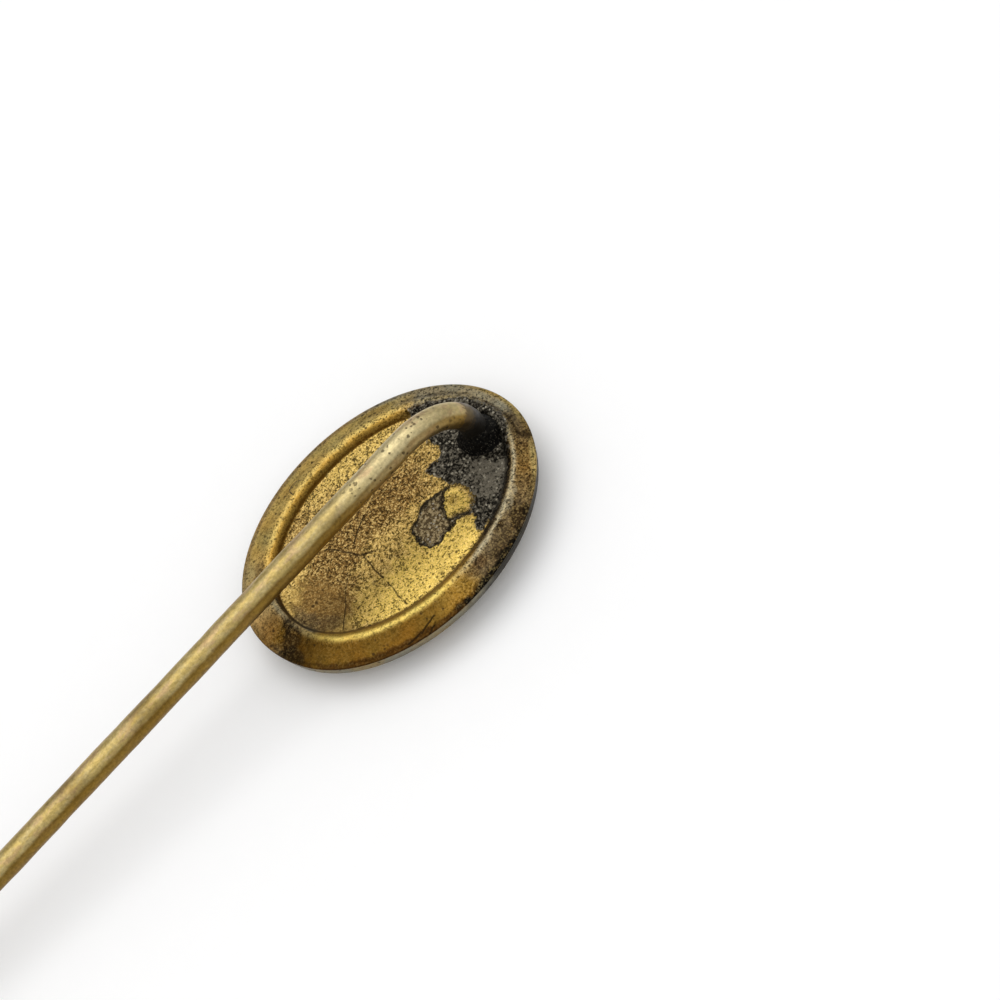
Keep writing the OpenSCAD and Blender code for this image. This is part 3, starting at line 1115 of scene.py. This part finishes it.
class PIN_OT_stage(bpy.types.Operator):
    """Add the floor, the soft light, the sky and the camera at the photograph's angle"""

    bl_idname = "pin.stage"
    bl_label = "Stage"

    # The side of the floor in metres, and the width of the camera's sensor in millimetres
    FLOOR_SIDE = 1.2
    SENSOR = 36.0

    # The key light: its direction from the head in degrees, distance and side in metres, and power in watts
    KEY_AZIMUTH = 88
    KEY_ELEVATION = 75
    KEY_DISTANCE = 0.5
    KEY_SIDE = 0.4
    KEY_POWER = 0.6

    # Strength of the sky
    SKY_AT_HORIZON = 0.42
    SKY_OVERHEAD = 1.05

    def execute(self, context):
        mm = settle(context.scene.pin_sizes)
        self.add_floor(context.scene.pin_colours)
        self.add_camera(context, mm)
        self.add_lights(context, mm)
        return {"FINISHED"}

    def add_floor(self, hues):
        """A plain pale plane at the height that the pin lies on"""
        half = self.FLOOR_SIDE / 2
        mesh = bpy.data.meshes.new("floor")
        corners = [(-half, -half, 0), (half, -half, 0), (half, half, 0), (-half, half, 0)]
        mesh.from_pydata(corners, [], [(0, 1, 2, 3)])
        mesh.materials.append(floor_material(hues))
        add_object("floor", mesh)

    def add_camera(self, context, mm):
        """Puts the camera where the head's centre and long axis fall as in the photograph"""
        stage = context.scene.pin_stage
        right, up, back = camera_axes(stage, mm).transposed()
        head = Vector(mm.head_centre) * MM
        place = head + back * stage.distance
        pixel = stage.distance * self.SENSOR / (stage.lens * PICTURE_SIDE)
        middle = PICTURE_SIDE / 2
        aim = head + right * (middle - stage.head_x) * pixel + up * (stage.head_y - middle) * pixel
        toward = (place - aim).normalized()
        side = up.cross(toward).normalized()
        over = toward.cross(side)
        camera = add_object("camera", bpy.data.cameras.new("camera"))
        camera.data.lens = stage.lens
        camera.data.sensor_width = self.SENSOR
        camera.data.clip_start = 0.01
        camera.data.clip_end = 10
        camera.matrix_world = Matrix.Translation(place) @ Matrix((side, over, toward)).transposed().to_4x4()
        context.scene.camera = camera

    def add_lights(self, context, mm):
        """A soft key light high over the head, and a plain pale sky that darkens to the horizon"""
        azimuth, elevation = radians(self.KEY_AZIMUTH), radians(self.KEY_ELEVATION)
        level = cos(elevation)
        away = Vector((cos(azimuth) * level, sin(azimuth) * level, sin(elevation)))
        lamp = bpy.data.lights.new("key_light", "AREA")
        lamp.shape = "SQUARE"
        lamp.size = self.KEY_SIDE
        lamp.energy = self.KEY_POWER
        light = add_object("key_light", lamp)
        light.location = Vector(mm.head_centre) * MM + away * self.KEY_DISTANCE
        light.rotation_mode = "QUATERNION"
        light.rotation_quaternion = away.to_track_quat("Z", "Y")

        world = bpy.data.worlds.new("sky")
        world.use_nodes = True
        tree = world.node_tree
        way = add_node(tree, "TexCoord", output="Generated")
        upward = add_node(tree, "SeparateXYZ", None, {0: way}, "Z")
        strength = span(upward, 0.0, 1.0, self.SKY_AT_HORIZON, self.SKY_OVERHEAD)
        plug(tree.nodes["Background"], {"Color": (1, 1, 1), "Strength": strength})
        context.scene.world = world
        context.scene.view_settings.view_transform = "Standard"


class PIN_PT_sidebar(bpy.types.Panel):
    """The pin's sizes, colours and pieces"""

    bl_idname = "PIN_PT_sidebar"
    bl_label = "Stick pin"
    bl_space_type = "VIEW_3D"
    bl_region_type = "UI"
    bl_category = "Stick pin"

    def draw(self, context):
        for name in GROUPS:
            group = getattr(context.scene, name)
            box = self.layout.box()
            for key in group.__annotations__:
                box.prop(group, key)
        for operator in OPERATORS:
            self.layout.operator(operator.bl_idname)


OPERATORS = (PIN_OT_stage, PIN_OT_back_plate, PIN_OT_solder, PIN_OT_stem, PIN_OT_front_plate)
GROUPS = {"pin_sizes": PinSizes, "pin_colours": PinColours, "pin_stage": PinStage}


def register():
    """Registers the property groups, the operators and the panel."""
    for key, group in GROUPS.items():
        bpy.utils.register_class(group)
        setattr(bpy.types.Scene, key, PointerProperty(type=group))
    for item in (*OPERATORS, PIN_PT_sidebar):
        bpy.utils.register_class(item)


def unregister():
    """Removes what register added."""
    for item in (PIN_PT_sidebar, *reversed(OPERATORS)):
        bpy.utils.unregister_class(item)
    for key, group in GROUPS.items():
        delattr(bpy.types.Scene, key)
        bpy.utils.unregister_class(group)


def main():
    """Builds every piece and the stage."""
    register()
    bpy.ops.pin.stage()
    bpy.ops.pin.back_plate()
    bpy.ops.pin.solder()
    bpy.ops.pin.stem()
    bpy.ops.pin.front_plate()
    bpy.context.view_layer.update()


if __name__ == "__main__":
    main()
